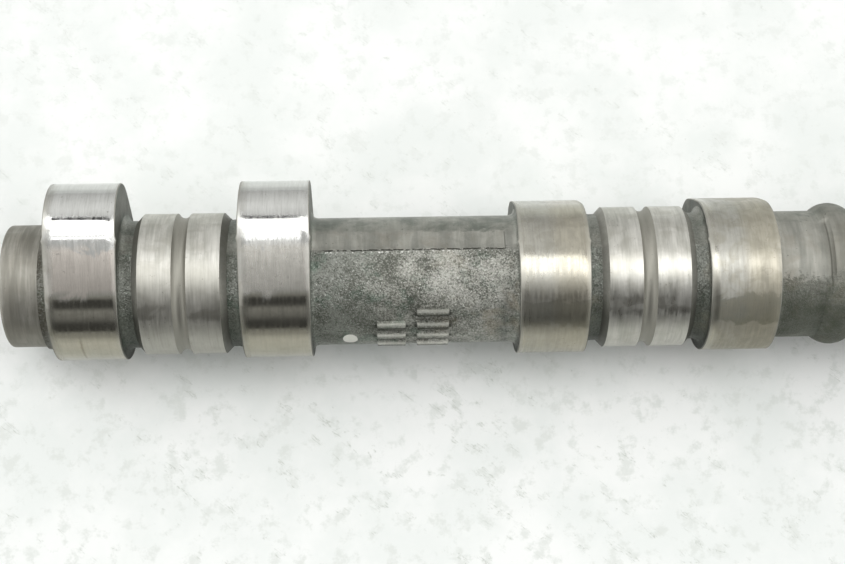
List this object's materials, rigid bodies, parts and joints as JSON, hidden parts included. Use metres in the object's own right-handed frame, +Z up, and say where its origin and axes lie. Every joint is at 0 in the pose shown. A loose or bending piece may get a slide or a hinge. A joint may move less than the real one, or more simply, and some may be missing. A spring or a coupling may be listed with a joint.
{
  "type": "camshaft",
  "caption": "One-piece cast iron camshaft for an in-line engine: paired cam lobes each side of grooved bearing journals, drive end with sprocket seat.",
  "frame": {"origin": "middle of the rearmost bearing journal, on the shaft's axis", "axes": "+X along the shaft's axis from its rear end to its drive end, +Z up as it lies on the noses of its second and fourth lobe pairs"},
  "size_m": [0.4122, 0.0352, 0.0352],
  "materials": {
    "chilled_iron": "cast skin on the bar, ground lobes and journals"
  },
  "bodies": {
    "root": {"camshaft": "chilled_iron"}
  },
  "joints": []
}
